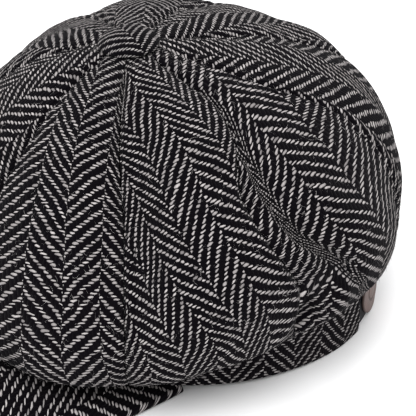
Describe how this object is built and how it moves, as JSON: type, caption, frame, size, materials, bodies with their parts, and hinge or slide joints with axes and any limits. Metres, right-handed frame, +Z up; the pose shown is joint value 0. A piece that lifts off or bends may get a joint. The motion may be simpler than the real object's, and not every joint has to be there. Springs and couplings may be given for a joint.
{
  "type": "newsboy cap",
  "caption": "Full, floppy tweed cap of sewn panels with a covered button, a band, a stiff peak and a leather patch at the back.",
  "frame": {"origin": "on the table, under the middle of the cap's overall box", "axes": "+Z up from the table, the peak points along -Y, the wearer's left is +X"},
  "size_m": [0.2264, 0.2386, 0.1398],
  "materials": {
    "tweed": "matte",
    "strap": "matte",
    "leather": "satin"
  },
  "bodies": {
    "root": {"crown_panel_1": "tweed", "crown_panel_2": "tweed", "crown_panel_3": "tweed", "crown_panel_4": "tweed", "crown_panel_5": "tweed", "crown_panel_6": "tweed", "crown_panel_7": "tweed", "crown_panel_8": "tweed", "button": "tweed", "band": "tweed", "back_strap": "strap", "leather_patch": "leather", "peak": "tweed"}
  },
  "joints": []
}
